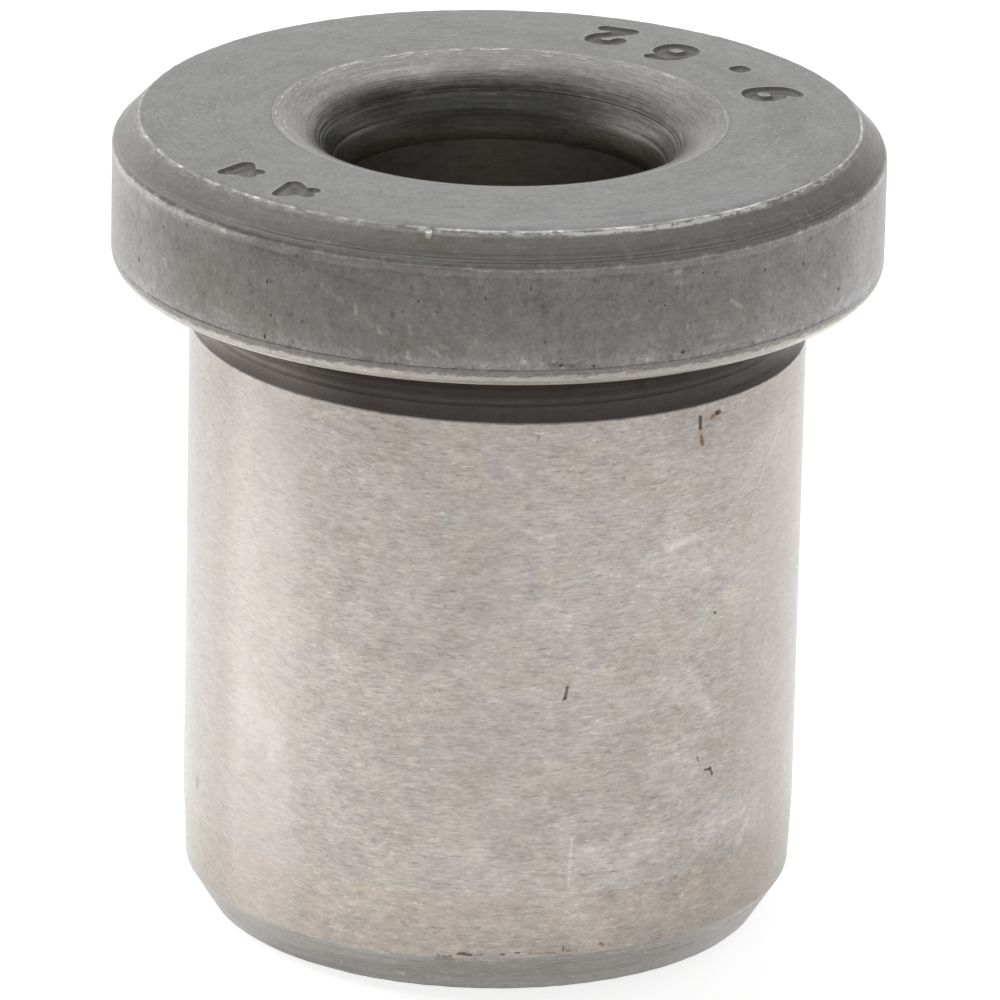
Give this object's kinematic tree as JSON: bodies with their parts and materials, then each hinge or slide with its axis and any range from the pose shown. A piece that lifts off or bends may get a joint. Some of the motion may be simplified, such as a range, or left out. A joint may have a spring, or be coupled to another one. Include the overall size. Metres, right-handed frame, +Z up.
{
  "type": "drill jig bushing",
  "caption": "Headed press-fit drill bushing: a ground steel sleeve with a wider head, a relief neck under it and a rounded mouth that leads the drill into the bore.",
  "frame": {"origin": "centre of the foot face, where the bore's axis meets it", "axes": "+Z up the bore's axis towards the head; X and Y are alike, because the piece is round"},
  "size_m": [0.015, 0.015, 0.016],
  "materials": {
    "hardened_steel": "ground body and faces, turned chamfers, dark hardened neck"
  },
  "bodies": {
    "root": {"bushing": "hardened_steel"}
  },
  "joints": []
}
